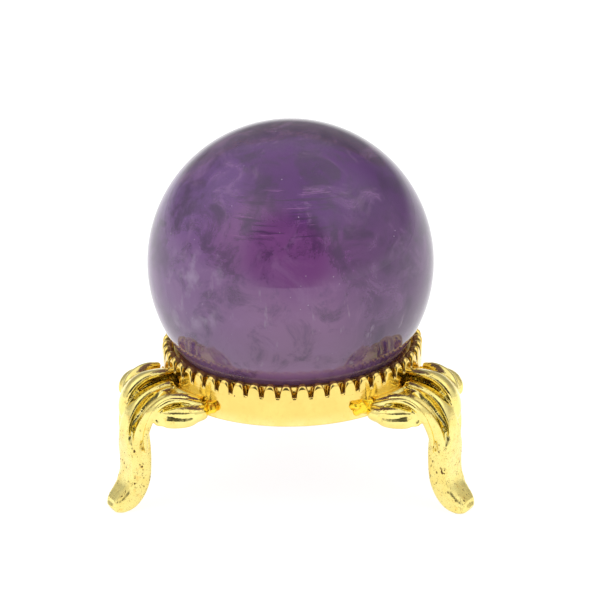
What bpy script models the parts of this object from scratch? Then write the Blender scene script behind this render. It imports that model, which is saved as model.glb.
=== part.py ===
"""Crystal ball on a three-legged stand.

The ball rests loose on a conical seat inside a banded ring with a pearled rim. Three cast
cabriole legs are soldered to the band at equal angles: left, right and back. The front is -Y,
the table is Z = 0, and the ring's axis is set back so that the whole object's box is centred.
"""

import math

import bmesh
import bpy
from mathutils import Matrix, Vector

MM = 0.001

# Driving dimensions
BALL_RADIUS = 20.0 * MM
BALL_HEIGHT = 31.6 * MM  # ball's centre above the table
SEAT_RADIUS = 15.6 * MM  # circle of contact between the ball and its seat
BAND_RADIUS = 18.3 * MM
BAND_WALL = 1.45 * MM
BAND_BOTTOM = 14.3 * MM
BAND_TOP = 18.3 * MM
BEAD_COUNT = 51
BEAD_TOP = 20.4 * MM
NOTCH_BOTTOM = 18.85 * MM
CROSSBAR_REACH = 21.0  # degrees along the band, to each side of a leg's middle
FOOT_REACH = 29.2 * MM  # toe's tip, from the ring's axis

# Fits between pieces, and how finely round shapes are divided
GAP = 0.1 * MM
RING_STEPS = 72
BALL_SUBDIVISIONS = 4
SMOOTH_ANGLE = math.radians(35)

LEG_AZIMUTHS = {"left": -60.0, "right": 60.0, "back": 180.0}  # degrees from -Y towards +X
AXIS_Y = (BALL_RADIUS - FOOT_REACH) / 2  # sets the ring's axis so that the box is centred in Y


def clear_scene():
    for old in list(bpy.data.objects):
        bpy.data.objects.remove(old, do_unlink=True)


def make_material(name, color, metallic, roughness):
    material = bpy.data.materials.new(name)
    material.use_nodes = True
    shader = material.node_tree.nodes["Principled BSDF"]
    shader.inputs["Base Color"].default_value = (*color, 1.0)
    shader.inputs["Metallic"].default_value = metallic
    shader.inputs["Roughness"].default_value = roughness
    return material


def mesh_from(name, points, faces, material):
    mesh = bpy.data.meshes.new(name)
    mesh.from_pydata([tuple(p) for p in points], [], faces)
    mesh.materials.append(material)
    mesh.shade_smooth()
    return mesh


def add_object(name, mesh, parent):
    obj = bpy.data.objects.new(name, mesh)
    bpy.context.scene.collection.objects.link(obj)
    obj.parent = parent
    return obj


def add_empty(name, location):
    empty = bpy.data.objects.new(name, None)
    empty.location = location
    bpy.context.scene.collection.objects.link(empty)
    return empty


def loft(rings):
    """Points and faces of a closed skin through rings of equally many points, capped at both ends."""
    sides = len(rings[0])
    points = [p for ring in rings for p in ring]
    faces = []
    for i in range(len(rings) - 1):
        for j in range(sides):
            a = i * sides + j
            b = i * sides + (j + 1) % sides
            faces.append((a, b, b + sides, a + sides))
    last = (len(rings) - 1) * sides
    faces.append(tuple(range(sides))[::-1])
    faces.append(tuple(range(last, last + sides)))
    return points, faces


def faced_out(mesh):
    """The mesh with its faces pointing out and sharp edges kept between flat and round stretches."""
    shape = bmesh.new()
    shape.from_mesh(mesh)
    bmesh.ops.recalc_face_normals(shape, faces=shape.faces)
    shape.to_mesh(mesh)
    shape.free()
    mesh.set_sharp_from_angle(angle=SMOOTH_ANGLE)
    return mesh


def at_angle(outline, angle):
    """A section of (radius, height) points, turned to an angle about the ring's axis."""
    return [(r * math.sin(angle), -r * math.cos(angle), z) for r, z in outline]


def add_ring(name, sections, material, parent):
    """A closed ring through sections of equally many points, the last joined to the first."""
    sides = len(sections[0])
    points = [p for section_points in sections for p in section_points]
    faces = []
    for i in range(len(sections)):
        start, following = i * sides, (i + 1) % len(sections) * sides
        for j in range(sides):
            k = (j + 1) % sides
            faces.append((start + j, start + k, following + k, following + j))
    return add_object(name, faced_out(mesh_from(name, points, faces, material)), parent)


def add_turned_ring(name, outline, material, parent):
    angles = [2 * math.pi * i / RING_STEPS for i in range(RING_STEPS)]
    return add_ring(name, [at_angle(outline, angle) for angle in angles], material, parent)


def section(centre, across, width_axis, half_depth, half_width, sides, squareness):
    """A ring of points on a superellipse: squareness 2 is an ellipse, and more is boxier."""
    ring = []
    for i in range(sides):
        angle = 2 * math.pi * (i + 0.5) / sides
        c, s = math.cos(angle), math.sin(angle)
        depth = half_depth * math.copysign(abs(c) ** (2 / squareness), c)
        width = half_width * math.copysign(abs(s) ** (2 / squareness), s)
        ring.append(centre + across * depth + width_axis * width)
    return ring


def direction(points, i):
    return (points[min(i + 1, len(points) - 1)] - points[max(i - 1, 0)]).normalized()


def swept(stations, sides, squareness, flat_side=None):
    """A skin along stations of (x, y, z, half depth, half width) in mm.

    flat_side is the direction that the width keeps; without it the width stays level.
    """
    centres = [Vector(s[:3]) * MM for s in stations]
    rings = []
    for i, station in enumerate(stations):
        along = direction(centres, i)
        width_axis = flat_side or along.cross(Vector((0, 0, 1))).normalized()
        across = width_axis.cross(along).normalized()
        rings.append(
            section(centres[i], across, width_axis, station[3] * MM, station[4] * MM, sides, squareness)
        )
    return loft(rings)


def make_ball(material, parent):
    shape = bmesh.new()
    bmesh.ops.create_icosphere(shape, subdivisions=BALL_SUBDIVISIONS, radius=BALL_RADIUS)
    mesh = bpy.data.meshes.new("crystal_ball")
    shape.to_mesh(mesh)
    shape.free()
    mesh.materials.append(material)
    mesh.shade_smooth()
    return add_object("crystal_ball", mesh, parent)


def make_band(material, parent):
    """The plain band, a strip of metal closed into a ring, tapering in at its rolled lower edge."""
    taper = 0.1 * MM
    roll = 0.35 * MM
    inner = BAND_RADIUS - BAND_WALL
    foot = BAND_RADIUS - taper
    outline = [
        (BAND_RADIUS, BAND_TOP),
        (foot, BAND_BOTTOM + 3 * roll),
        (foot - roll / 3, BAND_BOTTOM + roll),
        (foot - roll, BAND_BOTTOM + roll / 3),
        (foot - 2 * roll, BAND_BOTTOM),
        (inner, BAND_BOTTOM),
        (inner, BAND_TOP),
    ]
    add_turned_ring("ring_band", outline, material, parent)


def make_seat(material, parent):
    """The bearer inside the band, bored to a cone that the ball touches along SEAT_RADIUS."""
    wall = 1.75 * MM
    raised = 0.5 * MM  # how far its underside stands above the band's
    lip_margin = 0.5 * MM  # how far the cone goes on above the circle of contact
    outer = BAND_RADIUS - BAND_WALL - GAP
    inner = outer - wall
    drop = math.sqrt(BALL_RADIUS**2 - SEAT_RADIUS**2)
    slope = SEAT_RADIUS / drop
    touch_r = SEAT_RADIUS * (1 + GAP / BALL_RADIUS)
    touch_z = BALL_HEIGHT - drop * (1 + GAP / BALL_RADIUS)
    lip = touch_r + lip_margin
    bottom = BAND_BOTTOM + raised
    outline = [
        (outer, touch_z + slope * (lip - touch_r)),
        (outer, bottom),
        (inner, bottom),
        (inner, touch_z + slope * (inner - touch_r)),
        (lip, touch_z + slope * (lip - touch_r)),
    ]
    add_turned_ring("seat_ring", outline, material, parent)


def bead_outline(outer, inner, base, rise):
    """The rim's section as (radius, height), where rise is 1 on a bead and 0 in a notch."""
    bulge = 0.15 * MM * rise
    crown = 0.35 * MM  # how far a bead's top narrows on each side
    waist = 0.55  # how far up a bead is widest, as a share of its height
    height = (BEAD_TOP - NOTCH_BOTTOM) * rise
    return [
        (outer + bulge - crown, NOTCH_BOTTOM + height),
        (outer + bulge, NOTCH_BOTTOM + height * waist),
        (outer, base),
        (inner, base),
        (inner - bulge, NOTCH_BOTTOM + height * waist),
        (inner - bulge + crown, NOTCH_BOTTOM + height),
    ]


def make_beaded_rim(material, parent):
    """The pearled wire on the band's top edge: beads with notches cut down between them."""
    wall = 1.3 * MM
    top_half, foot_half = 0.24, 0.35  # half widths of a bead's top and foot, as shares of the pitch
    corners = ((-foot_half, 0.0), (-top_half, 1.0), (top_half, 1.0), (foot_half, 0.0))
    base = BAND_TOP + GAP
    inner = BAND_RADIUS - wall
    sections = []
    for bead in range(BEAD_COUNT):
        for share, rise in corners:
            angle = 2 * math.pi * (bead + share) / BEAD_COUNT
            sections.append(at_angle(bead_outline(BAND_RADIUS, inner, base, rise), angle))
    add_ring("beaded_rim", sections, material, parent)


def shaft_skin():
    """The cabriole shaft: out from the band as a narrow rib, over the knee, down, and out to the toe.

    It is drawn with X as the way out from the ring's axis, Y along the ring and Z up.
    """
    toe = FOOT_REACH / MM
    stations = [
        (18.9, 0, 16.7, 0.80, 0.85),
        (20.6, 0, 16.6, 1.00, 0.95),
        (22.4, 0, 16.0, 1.15, 1.10),
        (23.8, 0, 14.7, 1.35, 1.30),
        (24.6, 0, 12.9, 1.60, 1.60),
        (24.8, 0, 10.8, 1.70, 2.10),
        (24.7, 0, 7.6, 1.65, 2.40),
        (24.8, 0, 4.8, 1.60, 2.40),
        (25.5, 0, 3.1, 1.55, 2.35),
        (26.6, 0, 1.75, 1.50, 2.25),
        (27.7, 0, 1.05, 1.25, 2.00),
        (toe - 0.2, 0, 1.3, 0.50, 1.20),
    ]
    return swept(stations, sides=12, squareness=3.2, flat_side=Vector((0, 1, 0)))


def web_skin():
    """The thin palm of the head that carries its ribs."""
    stations = [
        (24.4, 0, 10.0, 0.9, 2.0),
        (24.2, 0, 12.4, 1.0, 2.8),
        (23.2, 0, 14.4, 1.0, 3.8),
        (21.6, 0, 15.4, 1.0, 4.6),
        (19.0, 0, 15.7, 0.8, 4.6),
    ]
    return swept(stations, sides=12, squareness=2.4, flat_side=Vector((0, 1, 0)))


def crossbar_skin():
    """The bar of the head that lies along the band."""
    half_depth, half_height = 0.55, 0.65
    steps = 6
    radius = (BAND_RADIUS + GAP) / MM + half_depth
    stations = []
    for i in range(steps + 1):
        angle = math.radians(CROSSBAR_REACH * (2 * i / steps - 1))
        stations.append((radius * math.cos(angle), radius * math.sin(angle), 16.4, half_depth, half_height))
    return swept(stations, sides=8, squareness=2.6, flat_side=Vector((0, 0, 1)))


def rib_skin(side):
    """A side rib that leaves the shaft and arches over to the crossbar. side is 1 or -1."""
    stations = [
        (25.0, 1.5 * side, 9.6, 0.4, 0.4),
        (25.1, 2.1 * side, 11.6, 0.75, 0.75),
        (24.5, 2.9 * side, 13.6, 0.8, 0.8),
        (23.3, 4.0 * side, 15.5, 0.8, 0.8),
        (21.7, 4.8 * side, 16.7, 0.8, 0.8),
        (20.2, 5.3 * side, 16.8, 0.75, 0.75),
        (18.5, 6.0 * side, 16.5, 0.5, 0.5),
    ]
    return swept(stations, sides=8, squareness=2)


def scroll_skin(side):
    """The rolled leaf under the crossbar's end, its axis pointing out from the ring."""
    stations = [
        (24.1, 4.6 * side, 14.9, 0.5, 0.5),
        (23.5, 5.0 * side, 15.0, 1.1, 1.1),
        (22.4, 5.6 * side, 15.1, 1.5, 1.5),
        (20.9, 6.1 * side, 15.1, 1.6, 1.6),
        (19.6, 6.5 * side, 15.1, 1.35, 1.35),
        (18.9, 6.7 * side, 15.1, 0.8, 0.8),
    ]
    return swept(stations, sides=8, squareness=2)


def united(name, skins, material):
    """One closed mesh from overlapping skins, joined by Boolean unions."""
    parts = []
    for i, (points, faces) in enumerate(skins):
        mesh = faced_out(mesh_from(f"{name}_{i}", points, faces, material))
        parts.append(add_object(f"{name}_{i}", mesh, None))
    for other in parts[1:]:
        union = parts[0].modifiers.new(other.name, "BOOLEAN")
        union.operation = "UNION"
        union.object = other
    evaluated = parts[0].evaluated_get(bpy.context.evaluated_depsgraph_get())
    mesh = bpy.data.meshes.new_from_object(evaluated)
    for part in parts:
        bpy.data.objects.remove(part, do_unlink=True)
    return mesh


def stand_flat(mesh):
    """The mesh cut off flat at the table, where the cast foot has been ground level."""
    shape = bmesh.new()
    shape.from_mesh(mesh)
    geometry = shape.verts[:] + shape.edges[:] + shape.faces[:]
    cut = bmesh.ops.bisect_plane(
        shape, geom=geometry, plane_co=(0, 0, 0), plane_no=(0, 0, -1), clear_outer=True
    )
    rim = [e for e in cut["geom_cut"] if isinstance(e, bmesh.types.BMEdge)]
    bmesh.ops.holes_fill(shape, edges=rim)
    shape.to_mesh(mesh)
    shape.free()
    return faced_out(mesh)


def azimuth_matrix(degrees):
    """Turns a leg drawn along +X to its azimuth about the ring's axis."""
    return Matrix.Rotation(math.radians(degrees - 90), 4, "Z")


def make_legs(material, parent):
    skins = [shaft_skin(), web_skin(), crossbar_skin()]
    for side in (1, -1):
        skins += [rib_skin(side), scroll_skin(side)]
    mesh = stand_flat(united("leg", skins, material))
    for name, azimuth in LEG_AZIMUTHS.items():
        leg = add_object(f"leg_{name}", mesh, parent)
        leg.matrix_local = azimuth_matrix(azimuth)


def make_solder(material, parent):
    """A fillet of solder against the band past each end of each crossbar."""
    start = CROSSBAR_REACH + 3.0  # degrees from the leg's middle
    length = 6.0  # degrees along the band
    height = 16.6
    thickest = 0.5
    taller = 2.2  # its height over its thickness
    standoff = (BAND_RADIUS + GAP) / MM + thickest
    stations = []
    for share, half_width in ((0.0, 0.25), (0.3, thickest), (0.7, 0.45), (1.0, 0.2)):
        angle = math.radians(start + length * share)
        x, y = standoff * math.cos(angle), standoff * math.sin(angle)
        stations.append((x, y, height, taller * half_width, half_width))
    mesh = faced_out(mesh_from("solder", *swept(stations, sides=8, squareness=2), material))
    mirrored = mesh.copy()
    mirrored.transform(Matrix.Diagonal((1, -1, 1, 1)))
    mirrored.flip_normals()
    for name, azimuth in LEG_AZIMUTHS.items():
        for end, fillet in (("a", mesh), ("b", mirrored)):
            solder = add_object(f"solder_{name}_{end}", fillet, parent)
            solder.matrix_local = azimuth_matrix(azimuth)


def main():
    clear_scene()
    gold = make_material("gold_plated_brass", (0.86, 0.66, 0.24), 1.0, 0.18)
    solder = make_material("gold_solder", (0.78, 0.52, 0.14), 1.0, 0.42)
    amethyst = make_material("amethyst", (0.20, 0.10, 0.24), 0.0, 0.05)

    stand = add_empty("stand", (0.0, AXIS_Y, 0.0))
    ball_lift = add_empty("ball_lift", (0.0, AXIS_Y, BALL_HEIGHT))

    make_ball(amethyst, ball_lift)
    make_band(gold, stand)
    make_beaded_rim(gold, stand)
    make_seat(gold, stand)
    make_legs(gold, stand)
    make_solder(solder, stand)


main()
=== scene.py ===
"""Looks of the crystal ball on its gold stand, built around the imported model.

Lengths are written in mm and turned into metres by MM. A leg is drawn with X as the way out from
the ring's axis, Y along the ring and Z up, then turned to its azimuth.
"""

import math

import bmesh
import bpy
import numpy as np
from mathutils import Matrix, Vector, noise


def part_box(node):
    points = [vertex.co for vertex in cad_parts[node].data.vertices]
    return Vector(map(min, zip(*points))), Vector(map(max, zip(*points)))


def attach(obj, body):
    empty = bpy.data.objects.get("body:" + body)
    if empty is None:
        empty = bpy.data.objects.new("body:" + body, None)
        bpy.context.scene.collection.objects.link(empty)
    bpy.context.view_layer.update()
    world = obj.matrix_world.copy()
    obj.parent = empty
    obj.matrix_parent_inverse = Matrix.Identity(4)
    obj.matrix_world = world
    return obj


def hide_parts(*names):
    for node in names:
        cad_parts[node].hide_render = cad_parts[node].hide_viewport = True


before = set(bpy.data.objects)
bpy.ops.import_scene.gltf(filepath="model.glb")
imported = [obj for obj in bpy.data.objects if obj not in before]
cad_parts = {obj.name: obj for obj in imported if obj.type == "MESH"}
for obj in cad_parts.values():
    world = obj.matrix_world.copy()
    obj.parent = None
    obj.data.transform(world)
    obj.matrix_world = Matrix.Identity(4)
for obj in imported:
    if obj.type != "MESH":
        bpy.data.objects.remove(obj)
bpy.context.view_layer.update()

MM = 0.001


def middle(node):
    low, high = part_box(node)
    return (Vector(low) + Vector(high)) / 2


def half_size(node):
    low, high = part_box(node)
    return (Vector(high) - Vector(low)) / 2


BALL_CENTRE = middle("crystal_ball")
BALL_RADIUS = half_size("crystal_ball").z
AXIS = Vector((middle("ring_band").x, middle("ring_band").y, 0.0))
BAND_RADIUS = half_size("ring_band").x
BAND_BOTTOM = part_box("ring_band")[0][2]
BAND_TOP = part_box("ring_band")[1][2]
BEAD_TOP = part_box("beaded_rim")[1][2]
SEAT_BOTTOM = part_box("seat_ring")[0][2]
SEAT_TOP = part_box("seat_ring")[1][2]
LEG_AZIMUTHS = {"left": -60.0, "right": 60.0, "back": 180.0}  # degrees from -Y towards +X
FAR_SIDES = {"left": -1, "right": 1, "back": 0}  # which side of a leg faces away from the front


# ---------------------------------------------------------------- meshes


def smooth_curve(stations, per_span=8):
    """Catmull-Rom through rows of numbers."""
    rows = [stations[0], *stations, stations[-1]]
    rows = np.array([[float(v) for v in row] for row in rows])
    rows[0] = 2 * rows[1] - rows[2]
    rows[-1] = 2 * rows[-2] - rows[-3]
    out = []
    for i in range(1, len(rows) - 2):
        a, b, c, d = rows[i - 1 : i + 3]
        first, second, third = c - a, 2 * a - 5 * b + 4 * c - d, 3 * b - a - 3 * c + d
        for k in range(per_span):
            t = k / per_span
            out.append(0.5 * (2 * b + first * t + second * t**2 + third * t**3))
    out.append(rows[-2])
    return np.array(out)


def section(centre, across, width_axis, half_depth, half_width, sides, squareness):
    """A ring of points on a superellipse: squareness 2 is an ellipse, and more is boxier."""
    ring = []
    for i in range(sides):
        angle = 2 * math.pi * (i + 0.5) / sides
        c, s = math.cos(angle), math.sin(angle)
        depth = half_depth * math.copysign(abs(c) ** (2 / squareness), c)
        width = half_width * math.copysign(abs(s) ** (2 / squareness), s)
        ring.append(centre + across * depth + width_axis * width)
    return ring


def loft(shape, rings):
    """Adds a closed skin through rings of equally many points to a bmesh, capped at both ends."""
    rows = [[shape.verts.new(p) for p in ring] for ring in rings]
    sides = len(rows[0])
    for low, high in zip(rows, rows[1:]):
        for j in range(sides):
            k = (j + 1) % sides
            shape.faces.new((low[j], low[k], high[k], high[j]))
    shape.faces.new(rows[0][::-1])
    shape.faces.new(rows[-1])


LEG_CORE = Vector((21.0, 0.0, 12.0))  # the point that the backs of a leg's ribs face
THINNEST = 0.05  # the least half size of a section


def sweep(shape, stations, sides=20, squareness=2.0, flat_side=None, core=LEG_CORE):
    """Adds a skin along stations of (out, along, up, half depth, half width) in mm.

    The depth stands along flat_side x path, or away from the core point where there is no flat side.
    """
    rows = smooth_curve(stations)
    centres = [Vector(row[:3]) for row in rows]
    rings = []
    for i, row in enumerate(rows):
        along = (centres[min(i + 1, len(rows) - 1)] - centres[max(i - 1, 0)]).normalized()
        if flat_side:
            width_axis = flat_side
            across = width_axis.cross(along).normalized()
        else:
            away = centres[i] - core
            across = (away - along * away.dot(along)).normalized()
            width_axis = along.cross(across).normalized()
        half_depth, half_width = max(row[3], THINNEST), max(row[4], THINNEST)
        rings.append(section(centres[i], across, width_axis, half_depth, half_width, sides, squareness))
    loft(shape, rings)


def mirrored(stations, side):
    """Stations drawn on the +Y side, moved to the given side of the leg."""
    return [(s[0], s[1] * side, *s[2:]) for s in stations]


def remeshed(shape, voxel, name):
    """One skin round all the overlapping skins of a bmesh, as a new mesh in mm."""
    bmesh.ops.recalc_face_normals(shape, faces=shape.faces)
    mesh = bpy.data.meshes.new(name)
    shape.to_mesh(mesh)
    shape.free()
    obj = bpy.data.objects.new(name, mesh)
    bpy.context.scene.collection.objects.link(obj)
    remesh = obj.modifiers.new("skin", "REMESH")
    remesh.mode = "VOXEL"
    remesh.voxel_size = voxel
    evaluated = obj.evaluated_get(bpy.context.evaluated_depsgraph_get())
    result = bpy.data.meshes.new_from_object(evaluated)
    bpy.data.objects.remove(obj, do_unlink=True)
    bpy.data.meshes.remove(mesh)
    return result


def coordinates(mesh):
    flat = np.zeros(len(mesh.vertices) * 3, np.float32)
    mesh.vertices.foreach_get("co", flat)
    return flat.reshape(-1, 3).astype(float)


def set_coordinates(mesh, points):
    mesh.vertices.foreach_set("co", points.astype(np.float32).ravel())
    mesh.update()


def normals(mesh):
    flat = np.zeros(len(mesh.vertices) * 3, np.float32)
    mesh.vertex_normals.foreach_get("vector", flat)
    return flat.reshape(-1, 3).astype(float)


def relax(mesh, rounds, share=0.5):
    """Moves each vertex part of the way to the mean of its neighbours."""
    pairs = np.zeros(len(mesh.edges) * 2, np.int64)
    mesh.edges.foreach_get("vertices", pairs)
    pairs = pairs.reshape(-1, 2)
    count = np.bincount(pairs.ravel(), minlength=len(mesh.vertices))[:, None]
    points = coordinates(mesh)
    for _ in range(rounds):
        total = np.zeros_like(points)
        for axis in range(3):
            total[:, axis] += np.bincount(pairs[:, 0], points[pairs[:, 1], axis], len(points))
            total[:, axis] += np.bincount(pairs[:, 1], points[pairs[:, 0], axis], len(points))
        points += share * (total / np.maximum(count, 1) - points)
    set_coordinates(mesh, points)


def distance_to_path(points, path):
    """Each point's distance to a polyline, and how far along it that is, from 0 to 1."""
    best = np.full(len(points), 1e9)
    where = np.zeros(len(points))
    for i, (a, b) in enumerate(zip(path, path[1:])):
        span = b - a
        t = np.clip((points - a) @ span / (span @ span), 0, 1)
        gap = np.linalg.norm(points - a - t[:, None] * span, axis=1)
        closer = gap < best
        best[closer] = gap[closer]
        where[closer] = (i + t[closer]) / (len(path) - 1)
    return best, where


def carve(mesh, path, depth, width):
    """Sinks the skin along a path, deepest on it. A negative depth raises a ridge."""
    points = coordinates(mesh)
    gap, where = distance_to_path(points, smooth_curve(path, 6)[:, :3])
    fall = np.clip(1 - gap / width, 0, 1)
    ends = np.clip(np.minimum(where, 1 - where) * 6, 0, 1)
    points -= normals(mesh) * (depth * fall**2 * (3 - 2 * fall) * ends)[:, None]
    set_coordinates(mesh, points)


def dimple(mesh, centre, radius, depth):
    """Sinks the skin inside a ball of the given radius, deepest at its centre."""
    points = coordinates(mesh)
    gap = np.linalg.norm(points - np.array(centre, float), axis=1)
    fall = np.clip(1 - (gap / radius) ** 2, 0, 1)
    points -= normals(mesh) * (depth * fall**0.8)[:, None]
    set_coordinates(mesh, points)


def unevenness(mesh, amount, size, seed):
    """A slight waviness of the whole skin, as on a casting or a lump of solder."""
    points, away = coordinates(mesh), normals(mesh)
    for i, p in enumerate(points):
        points[i] += away[i] * amount * noise.noise(Vector(p) / size + Vector((seed, 0, 0)))
    set_coordinates(mesh, points)


def finished(name, mesh, matrix, body, replaced, material):
    """Makes a piece that stands for its CAD node. The mesh and matrix are in mm, from the ring's axis."""
    mesh.transform(Matrix.Translation(AXIS) @ Matrix.Scale(MM, 4) @ matrix)
    mesh.materials.clear()
    mesh.materials.append(material)
    mesh.shade_smooth()
    obj = bpy.data.objects.new(name, mesh)
    bpy.context.scene.collection.objects.link(obj)
    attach(obj, body)
    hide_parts(replaced)


def azimuth_matrix(degrees):
    """Turns what is drawn along +X to its azimuth about the ring's axis."""
    return Matrix.Rotation(math.radians(degrees - 90), 4, "Z")


# ---------------------------------------------------------------- ring


def turned(outline, steps):
    """A closed ring of the (radius, height) outline in mm, which may change with the angle."""
    shape = bmesh.new()
    rows = []
    for i in range(steps):
        angle = 2 * math.pi * i / steps
        points = outline(angle)
        rows.append([shape.verts.new((r * math.sin(angle), -r * math.cos(angle), z)) for r, z in points])
    for row, following in zip(rows, rows[1:] + rows[:1]):
        for j in range(len(row)):
            k = (j + 1) % len(row)
            shape.faces.new((row[j], row[k], following[k], following[j]))
    bmesh.ops.recalc_face_normals(shape, faces=shape.faces)
    mesh = bpy.data.meshes.new("ring")
    shape.to_mesh(mesh)
    shape.free()
    return mesh


def rounded(corners, steps=5):
    """A closed outline of (radius, height, corner radius) with each corner turned into an arc."""
    out = []
    count = len(corners)
    for i, (r, z, bend) in enumerate(corners):
        here = Vector((r, z))
        before = Vector(corners[i - 1][:2]) - here
        after = Vector(corners[(i + 1) % count][:2]) - here
        cut = min(bend, before.length / 2, after.length / 2)
        start = here + before.normalized() * cut
        end = here + after.normalized() * cut
        for k in range(steps + 1):
            t = k / steps
            p = start * (1 - t) ** 2 + here * 2 * t * (1 - t) + end * t**2
            out.append((p.x, p.y))
    return out


BAND_WALL = 1.45
BAND_STEPS = 288
RIM_WALL = 1.4
RIM_PROUD = 0.005  # how far the rim stands outside the band
RIM_SINK = 0.03  # how far its base lies under the band's top
RIM_FOOT = 0.02  # height of the small steps that keep its base sharp
BEAD_COUNT = 51
BEAD_STEPS = 24
BEAD_HALF = 0.37  # half of a bead's width, as a share of the pitch
BEAD_SQUARENESS = 2.8  # 2 would make a bead's front an ellipse
BEAD_SHOULDER = 0.6  # from the band's top to where a bead's rounding starts
BEAD_BEND = 0.69  # radius of the rounding from the front of a bead to its back
NOTCH_DIP = 0.25
SEAT_RADIUS = 15.6  # where the ball touches the cone
SEAT_WALL = 1.75
SEAT_LAND = 0.5  # how far the cone runs on outside the ball's touch
SEAT_CLEARANCE = 0.02
SEAT_STEPS = 192


def make_band(material):
    radius, low, high = BAND_RADIUS / MM, BAND_BOTTOM / MM, BAND_TOP / MM
    inner = radius - BAND_WALL
    outline = rounded(
        [
            (radius, high, 0.02),
            (radius - 0.08, low + 1.0, 1.0),
            (radius - 0.2, low, 0.35),
            (inner, low, 0.2),
            (inner, high, 0.1),
        ]
    )
    mesh = turned(lambda angle: outline, BAND_STEPS)
    finished("ring_band_plated", mesh, Matrix(), "stand", "ring_band", material)


def rim_height(angle):
    """Height of the rim's crest: round-topped beads with U-shaped notches between them."""
    phase = angle * BEAD_COUNT / (2 * math.pi)
    share = abs(phase - round(phase))
    low, high = BAND_TOP / MM + BEAD_SHOULDER, BEAD_TOP / MM
    if share < BEAD_HALF:
        return low + (high - low) * math.sqrt(1 - (share / BEAD_HALF) ** BEAD_SQUARENESS)
    t = (0.5 - share) / (0.5 - BEAD_HALF)
    return low - NOTCH_DIP * math.sqrt(max(1 - t * t, 0.0))


def rim_outline(angle, arc_steps=16):
    """The rim's section at an angle: a flat base, upright sides and a round top."""
    outer = BAND_RADIUS / MM + RIM_PROUD
    inner = outer - RIM_WALL
    base = BAND_TOP / MM - RIM_SINK
    top = rim_height(angle)
    bend = min(BEAD_BEND, top - base - 0.05)
    points = [(inner, base + RIM_FOOT), (inner, base), (outer, base), (outer, base + RIM_FOOT)]
    crest = arc_steps // 2
    for k in range(arc_steps + 1):
        a = math.pi * k / arc_steps
        side = outer - bend if k < crest else inner + bend
        if k == crest:
            side = (outer + inner) / 2
        points.append((side + bend * math.cos(a), top - bend + bend * math.sin(a)))
    return points


def make_rim(material):
    mesh = turned(rim_outline, BEAD_COUNT * BEAD_STEPS)
    finished("beaded_rim_plated", mesh, Matrix(), "stand", "beaded_rim", material)


def make_seat(material):
    """The bearer inside the band, whose cone touches the ball at SEAT_RADIUS."""
    low, high = SEAT_BOTTOM / MM, SEAT_TOP / MM
    outer = half_size("seat_ring").x / MM
    inner = outer - SEAT_WALL
    drop = math.sqrt((BALL_RADIUS / MM) ** 2 - SEAT_RADIUS**2)
    slope = SEAT_RADIUS / drop

    def cone(radius):
        """Height of the cone at a radius, just clear of the ball."""
        return BALL_CENTRE.z / MM - drop + slope * (radius - SEAT_RADIUS) - SEAT_CLEARANCE

    edge = SEAT_RADIUS + SEAT_LAND
    outline = rounded(
        [
            (outer, high, 0.1),
            (outer, low, 0.15),
            (inner, low, 0.2),
            (inner, cone(inner), 0.2),
            (edge, cone(edge), 0.1),
        ]
    )
    mesh = turned(lambda angle: outline, SEAT_STEPS)
    finished("seat_ring_turned", mesh, Matrix(), "stand", "seat_ring", material)


# ---------------------------------------------------------------- legs

# Stations of (out, along, up, half depth, half width). Those off the middle are on the +Y side.
SHAFT = [
    (18.7, 0, 16.8, 0.55, 0.60),
    (19.1, 0, 16.8, 0.95, 0.90),
    (20.6, 0, 16.6, 1.00, 0.95),
    (22.3, 0, 16.0, 1.15, 1.05),
    (23.8, 0, 14.8, 1.35, 1.20),
    (24.6, 0, 13.0, 1.60, 1.45),
    (24.8, 0, 11.0, 1.80, 1.95),
    (24.75, 0, 9.0, 1.75, 2.35),
    (24.7, 0, 6.8, 1.65, 2.40),
    (24.85, 0, 4.8, 1.60, 2.40),
    (25.5, 0, 3.1, 1.60, 2.35),
    (26.5, 0, 1.85, 1.55, 2.25),
    (27.5, 0, 1.24, 1.32, 2.05),
    (28.2, 0, 1.08, 1.08, 1.80),
    (28.6, 0, 1.10, 0.82, 1.50),
    (28.8, 0, 1.12, 0.50, 1.10),
    (28.85, 0, 1.15, 0.15, 0.50),
]
CORE = [
    (24.4, 0, 9.6, 0.9, 2.1),
    (24.3, 0, 12.2, 1.1, 2.8),
    (23.4, 0, 14.3, 1.1, 3.9),
    (21.6, 0, 15.5, 1.1, 4.8),
    (19.6, 0, 15.8, 1.0, 5.4),
    (17.9, 0, 15.8, 0.9, 5.8),
]
SIDE_RIB = [
    (25.3, 1.9, 8.2, 0.35, 0.40),
    (25.3, 2.1, 10.4, 0.65, 0.65),
    (24.9, 2.6, 12.4, 0.80, 0.75),
    (24.2, 3.3, 14.1, 0.85, 0.80),
    (23.5, 4.1, 15.5, 0.85, 0.80),
    (22.4, 4.7, 16.5, 0.85, 0.80),
    (21.0, 5.1, 17.0, 0.80, 0.80),
    (19.6, 5.5, 17.0, 0.75, 0.80),
    (18.5, 6.0, 16.7, 0.65, 0.70),
    (17.6, 6.5, 16.5, 0.50, 0.55),
]
THIN_RIB = [
    (24.4, 2.8, 9.0, 0.25, 0.25),
    (24.6, 3.4, 11.4, 0.45, 0.38),
    (24.5, 4.4, 13.6, 0.50, 0.42),
    (24.1, 5.3, 15.5, 0.50, 0.42),
    (23.3, 5.9, 16.8, 0.50, 0.42),
    (22.0, 6.3, 17.4, 0.50, 0.42),
    (20.4, 6.6, 17.3, 0.45, 0.40),
    (18.9, 6.9, 16.8, 0.40, 0.38),
    (17.4, 7.1, 16.3, 0.30, 0.30),
]
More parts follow.
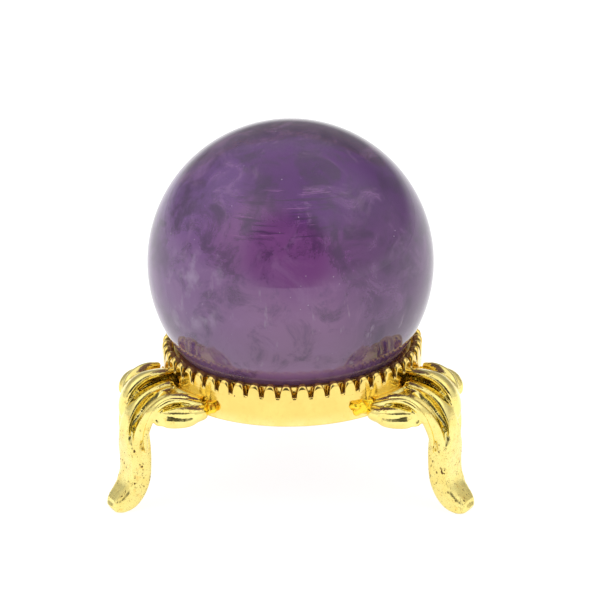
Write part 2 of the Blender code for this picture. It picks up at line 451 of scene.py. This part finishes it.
LOBE = [
    (23.8, 4.9, 14.3, 0.4, 0.4),
    (23.5, 5.2, 14.5, 0.9, 0.9),
    (22.8, 5.6, 14.9, 1.35, 1.35),
    (21.6, 6.2, 15.05, 1.65, 1.6),
    (20.0, 6.8, 15.1, 1.6, 1.6),
    (18.6, 7.1, 15.2, 1.4, 1.3),
    (17.4, 7.4, 15.3, 1.0, 1.0),
    (16.9, 7.5, 15.3, 0.4, 0.4),
]
FAR_WEB = [  # fills the palm where the far scroll stands higher
    (25.1, 1.8, 11.6, 0.5, 0.9),
    (24.9, 2.4, 13.8, 0.9, 1.7),
    (23.9, 2.7, 15.8, 1.0, 2.3),
    (22.2, 2.9, 16.9, 1.0, 2.6),
    (20.2, 3.0, 17.1, 0.9, 2.9),
    (18.2, 3.2, 16.9, 0.7, 3.0),
]

# Paths of (out, along, up) that are carved or raised
LOBE_GROOVE = [(23.6, 6.3, 15.6), (22.4, 7.3, 15.5), (20.8, 8.1, 15.3), (19.0, 8.5, 15.3)]
LOBE_EDGE = [(23.4, 6.0, 14.2), (22.0, 7.0, 13.9), (20.2, 7.7, 13.9), (18.6, 8.1, 14.2)]
ARRIS = [(26.2, 2.1, 11.0), (26.2, 2.2, 8.0), (26.2, 2.2, 5.0), (27.0, 2.1, 3.3)]
GROOVE = [(20.6, 1.5, 16.6), (22.6, 1.5, 16.2), (24.3, 1.5, 14.8), (25.6, 1.5, 12.8), (26.3, 1.6, 10.2)]
GROOVE_CUT = (0.75, 0.65)  # depth and width
LINES = (  # path, depth and width, where a negative depth is a ridge
    (LOBE_GROOVE, 0.25, 0.7),
    (LOBE_EDGE, -0.12, 0.7),
    (ARRIS, -0.15, 0.5),
)
SCROLL_EYE = (23.4, 6.2, 15.0)
EYE_RADIUS, EYE_DEPTH = 0.9, 0.5

CROSSBAR_REACH = 21.0  # degrees to each side of the leg's middle
CROSSBAR_OUT = 0.35  # from the band's outside to the bar's middle
CROSSBAR_HEIGHT = 16.4
CROSSBAR_HALF_DEPTH, CROSSBAR_HALF_WIDTH = 0.55, 0.65
CROSSBAR_TIP = 0.35  # the bar's size at its tips, as a share
CROSSBAR_TAPER = 4.0  # degrees in which a tip would gain a full size

FAR_LIFT = 0.8  # how much higher the scroll on a front leg's far side stands
FAR_REACH = 0.3  # and how much further out
LIFT_SPAN = 6.0  # distance off the leg's middle where the whole lift is reached
LEG_VOXEL = 0.11


def crossbar():
    """The bar of the head that lies along the band, thinner at its tips."""
    radius = BAND_RADIUS / MM + CROSSBAR_OUT
    stations = []
    for degrees in np.linspace(-CROSSBAR_REACH, CROSSBAR_REACH, 13):
        angle = math.radians(degrees)
        share = min(1.0, CROSSBAR_TIP + (CROSSBAR_REACH - abs(degrees)) / CROSSBAR_TAPER)
        place = (radius * math.cos(angle), radius * math.sin(angle), CROSSBAR_HEIGHT)
        stations.append((*place, CROSSBAR_HALF_DEPTH * share, CROSSBAR_HALF_WIDTH * share))
    return stations


def raised(stations, lift, reach):
    """Stations moved up and out in proportion to how far they stand off the leg's middle."""
    out = []
    for s in stations:
        share = min(abs(s[1]) / LIFT_SPAN, 1.0)
        out.append((s[0] + reach * share, s[1], s[2] + lift * share, *s[3:]))
    return out


def leg_mesh(far_side):
    """A leg whose far side, +1 or -1, carries the higher scroll. 0 is an even leg."""
    shape = bmesh.new()
    level = Vector((0, 1, 0))
    sweep(shape, SHAFT, sides=40, squareness=4.5, flat_side=level)
    sweep(shape, CORE, sides=24, squareness=2.4, flat_side=level)
    sweep(shape, crossbar(), squareness=2.6, flat_side=Vector((0, 0, 1)))
    for side in (1, -1):
        lift, reach = (FAR_LIFT, FAR_REACH) if side == far_side else (0.0, 0.0)
        ribs = (SIDE_RIB, FAR_WEB, LOBE) if side == far_side else (SIDE_RIB, THIN_RIB, LOBE)
        for stations in ribs:
            sweep(shape, raised(mirrored(stations, side), lift, reach))
    mesh = remeshed(shape, LEG_VOXEL, "leg")
    relax(mesh, 2)
    for side in (1, -1):
        if side != far_side:
            carve(mesh, mirrored(GROOVE, side), *GROOVE_CUT)
        for path, depth, width in LINES:
            carve(mesh, mirrored(path, side), depth, width)
        out, along, up = SCROLL_EYE
        dimple(mesh, (out, along * side, up), EYE_RADIUS, EYE_DEPTH)
    relax(mesh, 2)
    points = coordinates(mesh)
    points[:, 2] = np.maximum(points[:, 2], 0.0)
    set_coordinates(mesh, points)
    return mesh


def make_legs(material):
    for leg, azimuth in LEG_AZIMUTHS.items():
        mesh = leg_mesh(FAR_SIDES[leg])
        name = f"leg_{leg}"
        finished(f"{name}_cast", mesh, azimuth_matrix(azimuth), "stand", name, material)


# ---------------------------------------------------------------- solder


SOLDER_LENGTH = {"right_b": 11.0, "left_a": 7.5, "left_b": 4.0, "right_a": 4.0}  # degrees
SOLDER_SIZE = {"right_b": 1.15, "left_b": 0.5, "right_a": 0.5}
USUAL_LENGTH, USUAL_SIZE = 6.0, 1.0
SOLDER_PROFILE = ((0.0, 0.25), (0.3, 0.55), (0.7, 0.5), (1.0, 0.2))  # share of the length, half depth
SOLDER_START = 21.5  # degrees from the leg's middle
SOLDER_OUT = 0.1  # from the band's outside to the lump's middle
SOLDER_HEIGHT = 16.2
SOLDER_STRETCH = 1.6  # height over depth
SOLDER_VOXEL = 0.09
SOLDER_ROUGHNESS, SOLDER_GRAIN = 0.8, 1.1


def solder_stations(side, length, size):
    """A lump's stations along the band, past the crossbar's end on the given side."""
    radius = BAND_RADIUS / MM + SOLDER_OUT
    stations = []
    for share, half in SOLDER_PROFILE:
        angle = math.radians(SOLDER_START + length * share)
        place = (radius * math.cos(angle), side * radius * math.sin(angle), SOLDER_HEIGHT)
        stations.append((*place, half * size, SOLDER_STRETCH * half * size))
    return stations


def make_solder(material):
    """Rough lumps past the crossbars' ends. The two that face the front are the longest."""
    for leg, azimuth in LEG_AZIMUTHS.items():
        for end, side in (("a", 1), ("b", -1)):
            key = f"{leg}_{end}"
            size = SOLDER_SIZE.get(key, USUAL_SIZE)
            stations = solder_stations(side, SOLDER_LENGTH.get(key, USUAL_LENGTH), size)
            shape = bmesh.new()
            sweep(shape, stations, core=Vector((0, 0, SOLDER_HEIGHT)))
            mesh = remeshed(shape, SOLDER_VOXEL, "solder")
            unevenness(mesh, SOLDER_ROUGHNESS * size, SOLDER_GRAIN, seed=azimuth + side)
            relax(mesh, 1)
            name = f"solder_{key}"
            finished(f"{name}_lump", mesh, azimuth_matrix(azimuth), "stand", name, material)


# ---------------------------------------------------------------- ball


BALL_CUTS = 63  # on each edge of the cube


def make_ball(material):
    """A true sphere from a cube whose faces are divided evenly and thrown out to the radius."""
    shape = bmesh.new()
    bmesh.ops.create_cube(shape, size=2.0)
    bmesh.ops.subdivide_edges(shape, edges=shape.edges[:], cuts=BALL_CUTS, use_grid_fill=True)
    for vert in shape.verts:
        way = Vector([math.tan(c * math.pi / 4) for c in vert.co]).normalized()
        vert.co = way * BALL_RADIUS / MM
    mesh = bpy.data.meshes.new("ball")
    shape.to_mesh(mesh)
    shape.free()
    place = Matrix.Translation((BALL_CENTRE - AXIS) / MM)
    finished("crystal_ball_polished", mesh, place, "ball", "crystal_ball", material)


# ---------------------------------------------------------------- materials


class Shader:
    """A material of one Principled shader, with short ways to add the nodes that feed it."""

    def __init__(self, name, **constants):
        self.material = bpy.data.materials.new(name)
        self.material.use_nodes = True
        self.tree = self.material.node_tree
        self.surface = self.tree.nodes["Principled BSDF"]
        for socket, value in constants.items():
            self.surface.inputs[socket.replace("_", " ")].default_value = value
        self.place = self.node("ShaderNodeMapping", {"Scale": (1 / MM,) * 3})
        self.link(self.tree.nodes.new("ShaderNodeTexCoord").outputs["Object"], self.place.inputs[0])
        self.mm = self.place.outputs[0]

    def link(self, source, target):
        self.tree.links.new(source, target)

    def put(self, value, target):
        if isinstance(value, bpy.types.NodeSocket):
            self.link(value, target)
        elif target.type == "RGBA" and len(value) == 3:
            target.default_value = (*value, 1.0)
        else:
            target.default_value = value

    def node(self, kind, inputs=None, **settings):
        node = self.tree.nodes.new(kind)
        for key, value in settings.items():
            setattr(node, key, value)
        for key, value in (inputs or {}).items():
            self.put(value, node.inputs[key])
        return node

    def math(self, operation, a, b=0.0):
        return self.node("ShaderNodeMath", {0: a, 1: b}, operation=operation).outputs[0]

    def times(self, a, b):
        return self.math("MULTIPLY", a, b)

    def scaled(self, scale, shift=(0, 0, 0), turn=(0, 0, 0)):
        """The place in mm, moved, turned and scaled."""
        inputs = {0: self.mm, "Location": shift, "Rotation": turn, "Scale": scale}
        return self.node("ShaderNodeMapping", inputs).outputs[0]

    def noise(self, scale, detail=3.0, roughness=0.55, distortion=0.0, vector=None):
        inputs = {
            "Vector": vector or self.mm,
            "Scale": scale,
            "Detail": detail,
            "Roughness": roughness,
            "Distortion": distortion,
        }
        return self.node("ShaderNodeTexNoise", inputs).outputs["Fac"]

    def cells(self, scale, vector=None):
        inputs = {"Vector": vector or self.mm, "Scale": scale}
        return self.node("ShaderNodeTexVoronoi", inputs).outputs["Distance"]

    def step(self, value, low, high, to_low=0.0, to_high=1.0):
        """A smooth step of value from low to high."""
        inputs = {0: value, 1: low, 2: high, 3: to_low, 4: to_high}
        return self.node("ShaderNodeMapRange", inputs, interpolation_type="SMOOTHSTEP").outputs[0]

    def band(self, value, low, high, soft):
        """1 between low and high, with soft edges."""
        return self.times(self.step(value, low - soft, low), self.step(value, high, high + soft, 1.0, 0.0))

    def mix(self, factor, a, b):
        node = self.tree.nodes.new("ShaderNodeMix")
        node.data_type = "RGBA"
        self.put(factor, node.inputs[0])
        self.put(a, node.inputs[6])
        self.put(b, node.inputs[7])
        return node.outputs[2]

    def tint(self, tone, share, strength, colour):
        """The tone with a colour laid over it, as strongly as the share and the strength say."""
        return self.mix(self.times(share, strength), tone, colour)

    def axes(self, vector=None):
        return self.node("ShaderNodeSeparateXYZ", {0: vector or self.mm}).outputs

    def bump(self, height, distance, strength=1.0):
        inputs = {"Height": height, "Distance": distance, "Strength": strength}
        self.link(self.node("ShaderNodeBump", inputs).outputs[0], self.surface.inputs["Normal"])


METAL = {"Metallic": 1.0, "IOR": 1.45}
GOLD = (0.90, 0.67, 0.19)
DEEP_GOLD = (0.86, 0.62, 0.17)
# painted highlight for the band's lower edge
LIT_EDGE_GOLD = (0.94, 0.76, 0.28)
PALE_GOLD = (0.91, 0.78, 0.28)
WARM_GOLD = (0.90, 0.72, 0.22)
BRONZE = (0.80, 0.50, 0.12)
AMBER = (0.85, 0.48, 0.10)
# painted shade for the outer side of the rim's notches
NOTCH_SHADE = (0.20, 0.10, 0.05)
TARNISH = (0.17, 0.09, 0.03)
SOLDER_YELLOW = (0.97, 0.68, 0.05)
SOLDER_BURNT = (0.66, 0.27, 0.02)


def in_notches(s, x, y, z):
    """1 on the outer side of the rim's notches, where shade is painted, at a place in mm from the ring's
    axis.
    """
    beads = s.times(s.math("ARCTAN2", x, s.times(y, -1.0)), BEAD_COUNT / (2 * math.pi))
    above_zero = s.math("ADD", beads, 100.5)  # half a bead, and whole ones that keep the sum positive
    share = s.math("ABSOLUTE", s.math("SUBTRACT", s.math("FRACT", above_zero), 0.5))
    top, outer = BAND_TOP / MM, BAND_RADIUS / MM
    notch = s.times(s.step(share, 0.31, 0.38), s.step(z, top + 0.25, top + 0.55))
    radius = s.math("SQRT", s.math("ADD", s.times(x, x), s.times(y, y)))
    return s.times(notch, s.step(radius, outer - 1.0, outer - 0.6))


def plated_gold():
    """Bright plating on rolled and turned brass: haze, a few pits, painted shade in the notches, and a
    painted highlight along the band's lower edge.
    """
    s = Shader("gold_plate", **METAL)
    haze = s.noise(0.35, detail=5)
    fine = s.noise(2.2, detail=6, vector=s.scaled((1, 1, 0.6)))
    pits = s.times(s.step(s.cells(1.4), 0.10, 0.16, 1.0, 0.0), s.step(s.noise(0.25), 0.5, 0.62))
    x, y, z = s.axes(s.scaled((1, 1, 1), shift=tuple(-AXIS / MM)))
    # the pits, and painted shade in the rim's notches
    darkened = s.math("MAXIMUM", pits, s.times(in_notches(s, x, y, z), 0.9))
    # painted highlight: paler over the last 2 mm up from the band's lower edge
    low_edge_highlight = s.step(z, BAND_BOTTOM / MM + 2.0, BAND_BOTTOM / MM)
    tone = s.mix(low_edge_highlight, DEEP_GOLD, LIT_EDGE_GOLD)
    tone = s.mix(s.step(haze, 0.35, 0.7), tone, GOLD)
    tone = s.tint(tone, s.step(fine, 0.5, 0.75), 0.25, BRONZE)
    s.put(s.mix(darkened, tone, NOTCH_SHADE), s.surface.inputs["Base Color"])
    rough = s.step(haze, 0.3, 0.75, 0.10, 0.20)
    s.put(s.math("ADD", rough, s.times(darkened, 0.3)), s.surface.inputs["Roughness"])
    ripple = s.noise(0.9, detail=4, vector=s.scaled((1, 1, 2.5)))
    s.bump(s.math("SUBTRACT", ripple, pits), 0.03 * MM, 0.6)
    return s.material


def cast_gold():
    """Plating over a casting: wavy skin, brown pits, and a worn, satin lower shaft."""
    s = Shader("cast_gold", **METAL)
    height = s.axes()[2]
    satin = s.step(height, 9.0, 13.5, 1.0, 0.0)
    haze = s.noise(0.5, detail=6)
    clusters = s.step(s.noise(0.5, detail=3), 0.47, 0.57)
    ragged = s.times(s.math("SUBTRACT", s.noise(3.0, detail=4), 0.5), 0.8)
    pits = s.math("ADD", s.cells(1.6, vector=s.scaled((1, 1, 0.7))), ragged)
    fewer_above = s.step(height, 10.0, 14.0, 1.0, 0.2)
    pits = s.times(s.step(pits, 0.16, 0.26, 1.0, 0.0), s.times(clusters, fewer_above))
    scratches = s.step(s.noise(2.6, detail=7, distortion=1.5), 0.58, 0.64)
    scratches = s.times(scratches, s.times(satin, 0.55))
    tone = s.mix(s.step(haze, 0.35, 0.7), PALE_GOLD, WARM_GOLD)
    tone = s.tint(tone, s.step(s.noise(0.8, detail=3), 0.58, 0.72), 0.45, AMBER)
    darkened = s.math("MAXIMUM", pits, scratches)
    s.put(s.mix(darkened, tone, TARNISH), s.surface.inputs["Base Color"])
    rough = s.math("ADD", s.step(haze, 0.3, 0.75, 0.07, 0.14), s.times(satin, 0.18))
    s.put(s.math("ADD", rough, s.times(darkened, 0.35)), s.surface.inputs["Roughness"])
    skin = s.math("ADD", s.noise(0.8, detail=4), s.times(s.noise(3.5, detail=3), 0.3))
    s.bump(s.math("SUBTRACT", skin, pits), 0.09 * MM, 0.7)
    return s.material


def gold_solder():
    """Rough yellow solder, burnt brown in places."""
    s = Shader("solder", **METAL)
    burnt = s.step(s.noise(0.9, detail=4), 0.52, 0.70)
    s.put(s.mix(burnt, SOLDER_YELLOW, SOLDER_BURNT), s.surface.inputs["Base Color"])
    s.put(s.step(burnt, 0.0, 1.0, 0.22, 0.45), s.surface.inputs["Roughness"])
    s.bump(s.noise(1.6, detail=4), 0.15 * MM, 0.5)
    return s.material


FRONT_TILT = math.radians(21.0)  # the ball's painted light and shade and its tones stand square to a line this far above level, the camera's elevation


QUARTZ = {
    # From the first colour to the fourth the ball runs from painted light below to painted shade above;
    # the fifth paints more light on its underside.
    "lit_below": (0.28, 0.145, 0.29),
    "mauve": (0.18, 0.045, 0.215),
    "violet": (0.080, 0.004, 0.145),
    "shaded_above": (0.060, 0.038, 0.080),
    "underside": (0.40, 0.20, 0.42),
    "pale_side": (0.20, 0.12, 0.30),
    "dark_side": (0.065, 0.030, 0.095),
    # painted dark reflection in the ball's upper half
    "dark_reflection": (0.085, 0.022, 0.13),
    "magenta": (0.22, 0.08, 0.22),
    "mottle": (0.040, 0.015, 0.060),
    "veil": (0.32, 0.17, 0.36),
    "cloud": (0.58, 0.50, 0.64),
    "dark_streak": (0.04, 0.015, 0.06),
    "pale_streak": (0.42, 0.18, 0.42),
    "wisp": (0.50, 0.42, 0.52),
    "dark_speck": (0.03, 0.015, 0.04),
    "pale_speck": (0.60, 0.52, 0.62),
}


def quartz_light_and_tones(s, across, height, level):
    """The ball's colours, paler on the left than on the right: painted light below and painted shade
    above, through mauve and violet, and a painted dark reflection.
    """
    # painted light and shade: paler below, darker above, and paler still on the underside
    tone = s.mix(s.step(level, -0.65, 0.15), QUARTZ["lit_below"], QUARTZ["mauve"])
    tone = s.mix(s.step(level, 0.10, 0.50), tone, QUARTZ["violet"])
    tone = s.mix(s.step(level, 0.55, 0.95), tone, QUARTZ["shaded_above"])
    tone = s.mix(s.step(height, -0.65, -0.90), tone, QUARTZ["underside"])
    tone = s.tint(tone, s.step(across, 0.0, -0.8), 0.50, QUARTZ["pale_side"])
    tone = s.tint(tone, s.step(across, 0.20, 0.7), 0.62, QUARTZ["dark_side"])
    # painted reflection: a dark patch in the upper half, from a little left of the middle towards the
    # right
    dark_reflection = s.times(s.step(across, -0.30, -0.27), s.step(across, -0.1, 0.5, 1.0, 0.0))
    dark_reflection = s.times(dark_reflection, s.band(height, 0.25, 0.65, 0.12))
    tone = s.tint(tone, dark_reflection, 0.60, QUARTZ["dark_reflection"])
    magenta = s.times(s.band(across, -0.35, 0.25, 0.2), s.band(level, -0.05, 0.25, 0.15))
    return s.tint(tone, magenta, 0.35, QUARTZ["magenta"])


def quartz_veils(s, tone, place, across, height, level):
    """Dark mottling, pale veils, and a cloud on the left."""
    mottle = s.noise(4.0, detail=10, roughness=0.68, distortion=0.5, vector=place)
    strength = s.step(level, -0.5, 0.2, 0.55, 0.80)
    tone = s.tint(tone, s.step(mottle, 0.54, 0.36), strength, QUARTZ["mottle"])
    veils = s.noise(3.4, detail=10, roughness=0.70, distortion=0.8, vector=place)
    tone = s.tint(tone, s.step(veils, 0.50, 0.68), 0.38, QUARTZ["veil"])
    cloud = s.times(s.band(across, -0.72, -0.50, 0.1), s.band(height, -0.40, 0.0, 0.12))
    cloud = s.times(cloud, s.step(s.noise(5.5, detail=8, vector=place), 0.48, 0.70))
    return s.tint(tone, cloud, 0.4, QUARTZ["cloud"])


def quartz_marks(s, tone, place, across, height, level):
    """Level streaks near the middle, wisps low down, and specks."""
    lines = s.noise(7.0, detail=3, vector=s.scaled((0.02, 0.02, 0.42)))
    zone = s.times(s.band(height, 0.16, 0.44, 0.05), s.band(across, -0.25, 0.30, 0.15))
    tone = s.tint(tone, s.times(s.step(lines, 0.56, 0.64), zone), 0.7, QUARTZ["dark_streak"])
    tone = s.tint(tone, s.times(s.step(lines, 0.40, 0.34), zone), 0.35, QUARTZ["pale_streak"])
    wisps = s.noise(6.0, detail=4, vector=s.scaled((0.10, 0.10, 0.03), turn=(0.0, 0.6, 0.0)))
    wisps = s.times(s.step(wisps, 0.62, 0.74), s.step(level, 0.1, -0.5))
    tone = s.tint(tone, wisps, 0.45, QUARTZ["wisp"])
    specks = s.step(s.cells(0.9), 0.04, 0.09, 1.0, 0.0)
    specks = s.times(specks, s.step(s.noise(2.0, vector=place), 0.45, 0.6))
    pale = s.step(s.noise(4.0, vector=place), 0.48, 0.52)
    return s.tint(tone, specks, 0.7, s.mix(pale, QUARTZ["dark_speck"], QUARTZ["pale_speck"]))


def amethyst():
    """Polished purple quartz: painted shade above, painted light below and a painted dark reflection, with
    veils, streaks and specks.
    """
    s = Shader("amethyst", IOR=1.54, Roughness=0.03, Transmission_Weight=0.45)
    unit = MM / BALL_RADIUS
    start = tuple(-BALL_CENTRE / MM * unit)
    radii = s.node("ShaderNodeMapping", {0: s.mm, "Location": start, "Scale": (unit,) * 3})
    place = radii.outputs[0]  # from the ball's centre, in radii
    x, y, z = s.axes(place)
    up = s.times(z, math.cos(FRONT_TILT))
    height = s.math("ADD", up, s.times(y, math.sin(FRONT_TILT)))
    warp = s.math("SUBTRACT", s.noise(1.6, detail=5, vector=place), 0.5)
    level = s.math("ADD", height, s.times(warp, 0.8))
    across = s.math("ADD", x, s.times(warp, 0.25))
    tone = quartz_light_and_tones(s, across, height, level)
    tone = quartz_veils(s, tone, place, across, height, level)
    tone = quartz_marks(s, tone, place, across, height, level)
    s.put(tone, s.surface.inputs["Base Color"])
    return s.material


# ---------------------------------------------------------------- studio

FLOOR_SIZE = 6.0
FLOOR_GREY = (0.25, 0.25, 0.25)
FLOOR_GLOW = 0.88  # strength of its white emission
WHITE = (1.0, 1.0, 1.0)


def make_floor():
    bpy.ops.mesh.primitive_plane_add(size=FLOOR_SIZE, location=(0, 0, 0))
    floor = bpy.context.object
    floor.name = "studio_floor"
    s = Shader("studio_floor", Roughness=0.9)
    s.put(FLOOR_GREY, s.surface.inputs["Base Color"])
    s.put(WHITE, s.surface.inputs["Emission Color"])
    s.put(FLOOR_GLOW, s.surface.inputs["Emission Strength"])
    floor.data.materials.append(s.material)


AMBIENT = 0.42
GLOW = 0.55  # added level with the floor
GLOW_TOP = 0.18  # cosine to the zenith where the glow has gone
SOFT_BOXES = (  # direction, cosine where it starts, cosine where it is full, strength
    ((1, -0.3, 0.5), 0.55, 0.95, 0.45),
    ((-1, -0.3, 0.5), 0.55, 0.95, 0.45),
    ((0, -0.1, 1), 0.38, 0.85, 0.68),
)
DARK_FRONT = ((0, -1, 0.5), 0.76, 0.93)  # direction and the same two cosines
DARK_SHARE = 0.85  # how much of the light it takes away


def make_world():
    """A studio that glows near the floor, with soft boxes at both sides and above and a dark front."""
    world = bpy.data.worlds.new("studio")
    bpy.context.scene.world = world
    world.use_nodes = True
    tree = world.node_tree
    out = tree.nodes["Background"]

    def math_node(operation, a, b):
        node = tree.nodes.new("ShaderNodeMath")
        node.operation = operation
        for socket, value in zip(node.inputs, (a, b)):
            if isinstance(value, bpy.types.NodeSocket):
                tree.links.new(value, socket)
            else:
                socket.default_value = value
        return node.outputs[0]

    def facing(direction, low, high):
        """1 towards a direction and 0 away from it, with a soft edge between two cosines."""
        dot = tree.nodes.new("ShaderNodeVectorMath")
        dot.operation = "DOT_PRODUCT"
        tree.links.new(way, dot.inputs[0])
        dot.inputs[1].default_value = Vector(direction).normalized()
        step = tree.nodes.new("ShaderNodeMapRange")
        step.interpolation_type = "SMOOTHSTEP"
        tree.links.new(dot.outputs["Value"], step.inputs[0])
        step.inputs[1].default_value = low
        step.inputs[2].default_value = high
        return step.outputs[0]

    way = tree.nodes.new("ShaderNodeTexCoord").outputs["Generated"]
    low_band = math_node("SUBTRACT", 1.0, facing((0, 0, 1), 0.0, GLOW_TOP))
    light = math_node("ADD", math_node("MULTIPLY", low_band, GLOW), AMBIENT)
    for direction, low, high, strength in SOFT_BOXES:
        box = math_node("MULTIPLY", facing(direction, low, high), strength)
        light = math_node("ADD", light, box)
    dark = math_node("SUBTRACT", 1.0, math_node("MULTIPLY", facing(*DARK_FRONT), DARK_SHARE))
    light = math_node("MULTIPLY", light, dark)
    tree.links.new(light, out.inputs["Strength"])
    out.inputs["Color"].default_value = (*WHITE, 1)


LAMP_PLACE = Vector((0.0, 0.05, 0.9))
LAMP_SIZE = 0.7
LAMP_POWER = 5.0


def make_lamp():
    """A wide lamp overhead that the gold doesn't mirror."""
    data = bpy.data.lights.new("overhead", "AREA")
    data.shape = "DISK"
    data.size = LAMP_SIZE
    data.energy = LAMP_POWER
    lamp = bpy.data.objects.new("overhead", data)
    lamp.location = LAMP_PLACE
    lamp.rotation_euler = (-LAMP_PLACE).to_track_quat("-Z", "Y").to_euler()
    lamp.visible_glossy = False
    bpy.context.scene.collection.objects.link(lamp)


CAMERA_DISTANCE = 0.4
CAMERA_ELEVATION = math.radians(21.0)
CAMERA_SIDE = math.radians(3.0)
CAMERA_ROLL = math.radians(-1.1)
CAMERA_DOWN, CAMERA_RIGHT = 4.6, 0.45  # mm off the line to the ball's centre
CAMERA_LENS, CAMERA_SENSOR = 175.3, 36.0
CAMERA_CLIP = 0.01


def make_camera():
    """Looks down at 21 degrees, from 3 degrees to the right of the front, and leans by 1.1."""
    level = math.cos(CAMERA_ELEVATION)
    right_part, front_part = math.sin(CAMERA_SIDE) * level, -math.cos(CAMERA_SIDE) * level
    away = Vector((right_part, front_part, math.sin(CAMERA_ELEVATION)))
    look = (-away).to_track_quat("-Z", "Y").to_matrix().to_4x4()
    up, right = look.col[1].to_3d(), look.col[0].to_3d()
    data = bpy.data.cameras.new("camera")
    data.sensor_width = CAMERA_SENSOR
    data.lens = CAMERA_LENS
    data.clip_start = CAMERA_CLIP
    camera = bpy.data.objects.new("camera", data)
    place = BALL_CENTRE + away * CAMERA_DISTANCE - up * CAMERA_DOWN * MM + right * CAMERA_RIGHT * MM
    camera.matrix_world = Matrix.Translation(place) @ look @ Matrix.Rotation(CAMERA_ROLL, 4, "Z")
    bpy.context.scene.collection.objects.link(camera)
    bpy.context.scene.camera = camera


def main():
    make_camera()
    make_world()
    make_floor()
    make_lamp()
    bpy.context.scene.view_settings.view_transform = "Standard"
    plate = plated_gold()
    make_band(plate)
    make_rim(plate)
    make_seat(plate)
    make_legs(cast_gold())
    make_solder(gold_solder())
    make_ball(amethyst())


main()
